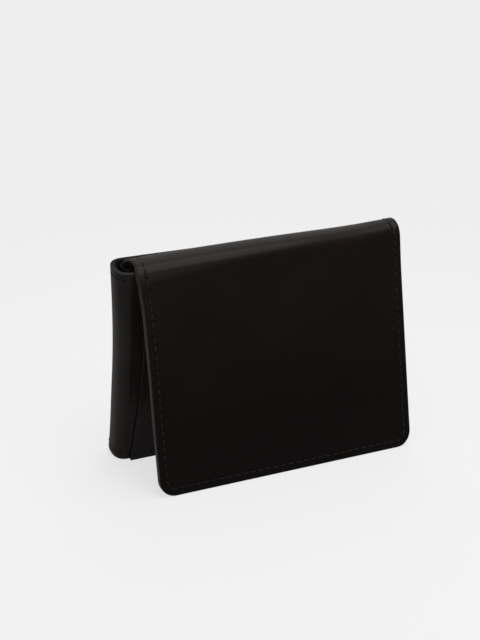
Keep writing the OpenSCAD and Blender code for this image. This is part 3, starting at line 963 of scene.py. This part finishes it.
def makeSeams(v):
    inset, dip, pitch = sheetLook["seamInset"], sheetLook["seamDepth"] - v["sink"], v["pitch"]
    left, right = creaseX + inset, openX - inset
    turn = spineShape["corner"] - inset
    # flap: down both sides, round the lower corners, and across the sewn root
    flapRight, low = right + flapShape["wider"], flapRun - inset
    loop = seamPath([(left, inset), (left, low), (flapRight, low), (flapRight, inset)],
                    flapShape["corner"] - inset)
    root = [(flapRight, inset), (left, inset)]
    makeSeam("flap_seam_thread", [seamRow(flapPlace(0), path, pitch, dip) for path in (loop, root)],
             ("front_half", "flap"), foldEnds)
    # back cover and spine
    place, flatRun, wrapRun = wrapPlace(frontY, backY, bulge, 0)
    end, top = flatRun + wrapRun - v["spineEnd"], coverHeight - inset
    path = seamPath([(end, inset), (inset, inset), (inset, top), (end, top)], turn)
    makeSeam("back_and_spine_seam_thread", [seamRow(place, path, v["spinePitch"], dip)], ("back_half", "spine"),
             creaseEnds(*coverRun["crease"]))

    def halfPath(height, start, end):
        # along the bottom from beside the crease, up the open side and back along the top
        return seamPath([(creaseX + start, inset), (right, inset), (right, height - inset),
                         (creaseX + end, height - inset)], turn)

    # slip pocket: bottom, open side and top; then the inside of the front half, with the window
    slipPath, leafPath = halfPath(slipTop, *v["slipEnds"]), halfPath(leafTop, *v["leafEnds"])
    rows = [seamRow(lambda x, z, w: flatPlace(0)(*slipShape(x, z), w), slipPath, pitch, dip),
            seamRow(flatPlace(layers["front_leaf"][1], -1), leafPath, pitch, v["leafDepth"])]
    rows += pocketSeams([n for n in pocketNodes if n[1] == "front_half"] + [("window_frame", "front_half", -1)])
    w, grow = windowLook, v["windowInset"]
    loop = rectLoop(w["rimX"] - grow, w["rimZ"] - grow, w["corner"] + grow)
    loop = np.vstack([loop, loop[:1]])
    rows.append(seamRow(flatPlace(layers["window_frame"][1], -1), loop, v["windowPitch"]))
    makeSeam("front_half_seam_thread", rows, ("front_half",))
    rows = [seamRow(flatPlace(layers["back_leaf"][0], 1), leafPath, pitch, v["leafDepth"])]
    rows += pocketSeams([n for n in pocketNodes if n[1] == "back_half"])
    makeSeam("back_half_seam_thread", rows, ("back_half",))


makeSeams(seamLook)
print("seams made")

# Camera, floor and light
view = {"at": (-204.99, -438.33, 250.43), "turn": 24.146, "pitch": 21.3526, "lens": 67.5, "sensor": 36}


def placeObject(name, data, axes, at):
    made = bpy.data.objects.new(name, data)
    made.matrix_world = Matrix([[*row, p] for row, p in zip(np.stack(axes, 1).tolist(), at)] + [[0, 0, 0, 1]])
    bpy.context.scene.collection.objects.link(made)
    return made


def makeCamera(v):
    turn, pitch = math.radians(v["turn"]), math.radians(v["pitch"])
    away = np.array([-math.sin(turn) * math.cos(pitch), -math.cos(turn) * math.cos(pitch), math.sin(pitch)])
    right = np.array([math.cos(turn), -math.sin(turn), 0])
    data = bpy.data.cameras.new("camera")
    data.lens, data.sensor_width = v["lens"], v["sensor"]
    data.clip_start, data.clip_end = 0.01, 50
    axes = (right, np.cross(away, right), away)
    bpy.context.scene.camera = placeObject("camera", data, axes, np.multiply(v["at"], mm))


makeCamera(view)

# "shadow" is the share of the floor that takes light and shade beside the wallet; it is gone
# beyond "fade". "paint" is the floor for rays that see it directly, "bounce" for the others
stage = {"pale": "#eeeeee", "paint": "#d8d8d8", "bounce": "#a0a0a0", "floor": 8.0, "shadow": 0.2,
         "fade": (0.14, 0.42)}


def seenDirectly(tree):
    # the camera, gloss and clear film all see the same pale surroundings
    ray = addNode(tree, "ShaderNodeLightPath").outputs
    seen = calc(tree, "MAXIMUM", ray["Is Camera Ray"], ray["Is Glossy Ray"])
    return calc(tree, "MAXIMUM", seen, ray["Is Transmission Ray"])


def makeFloor(v):
    half = v["floor"] / 2
    mesh = bpy.data.meshes.new("floor")
    corners = [(-half, -half, 0), (half, -half, 0), (half, half, 0), (-half, half, 0)]
    mesh.from_pydata(corners, [], [(0, 1, 2, 3)])
    floor = bpy.data.objects.new("floor", mesh)
    bpy.context.scene.collection.objects.link(floor)
    mat, tree = newMaterial("pale_studio_floor")
    seen = seenDirectly(tree)
    paint = addNode(tree, "ShaderNodeBsdfDiffuse", {"Color": mixTone(tree, seen, v["bounce"], v["paint"])})
    glow = addNode(tree, "ShaderNodeEmission", {"Color": linear(v["pale"]), "Strength": 1.0})
    away = addNode(tree, "ShaderNodeVectorMath", {0: objectPlace(tree)}, operation="LENGTH").outputs["Value"]
    share = calc(tree, "MULTIPLY", seen, remap(tree, away, v["fade"], (1 - v["shadow"], 1.0), "SMOOTHSTEP"))
    both = addNode(tree, "ShaderNodeMixShader", {0: share, 1: paint, 2: glow})
    addNode(tree, "ShaderNodeOutputMaterial", {"Surface": both})
    mesh.materials.append(mat)


makeFloor(stage)

# The room is darker in front than behind. Each lamp: where it hangs, its width and depth,
# how far it is turned, its power
studio = {
    "front": 0.10, "rear": 0.28, "width": 0.3, "rearward": (0.87, 0.5), "aim": (0, 0, 0.05),
    "lamps": [
        ("top_front_softbox", (0.12, -0.24, 1.0), (0.64, 0.96), -10, 11.5),
        ("top_rear_softbox", (0.26, 0.55, 1.0), (0.66, 0.8), -10, 4.0),
        ("rear_softbox", (0.5, 1.1, 0.5), (0.9, 0.7), 0, 2.4),
        ("high_front_softbox", (0.1, -0.95, 0.8), (0.66, 0.5), -10, 1.3),
        ("left_softbox", (-0.9, -0.62, 0.3), (1.1, 0.6), -55, 6.0),
    ],
}


def makeWorld(v):
    world = bpy.data.worlds.new("studio")
    bpy.context.scene.world = world
    world.use_nodes = True
    tree = world.node_tree
    tree.nodes.clear()
    place = addNode(tree, "ShaderNodeTexCoord").outputs["Generated"]
    part = addNode(tree, "ShaderNodeSeparateXYZ", {"Vector": place}).outputs
    side = calc(tree, "MULTIPLY_ADD", part["Y"], v["rearward"][0],
                calc(tree, "MULTIPLY", part["Z"], v["rearward"][1]))
    level = remap(tree, side, (-v["width"], v["width"]), (v["front"], v["rear"]), "SMOOTHSTEP")
    soft = addNode(tree, "ShaderNodeBackground", {"Strength": level, "Color": (1, 1, 1, 1)})
    pale = addNode(tree, "ShaderNodeBackground", {"Color": linear(stage["pale"]), "Strength": 1.0})
    both = addNode(tree, "ShaderNodeMixShader", {0: seenDirectly(tree), 1: soft, 2: pale})
    addNode(tree, "ShaderNodeOutputWorld", {"Surface": both})


def makeLamps(v):
    for name, at, size, turn, power in v["lamps"]:
        data = bpy.data.lights.new(name, "AREA")
        data.shape, data.size, data.size_y, data.energy = "RECTANGLE", *size, power
        away = np.subtract(at, v["aim"]) / np.linalg.norm(np.subtract(at, v["aim"]))
        ahead = np.cross(away, (math.cos(math.radians(turn)), math.sin(math.radians(turn)), 0))
        ahead /= np.linalg.norm(ahead)
        placeObject(name, data, (np.cross(ahead, away), ahead, away), at)


makeWorld(studio)
makeLamps(studio)
bpy.context.scene.view_settings.view_transform = "Standard"
print("camera, floor and light made")
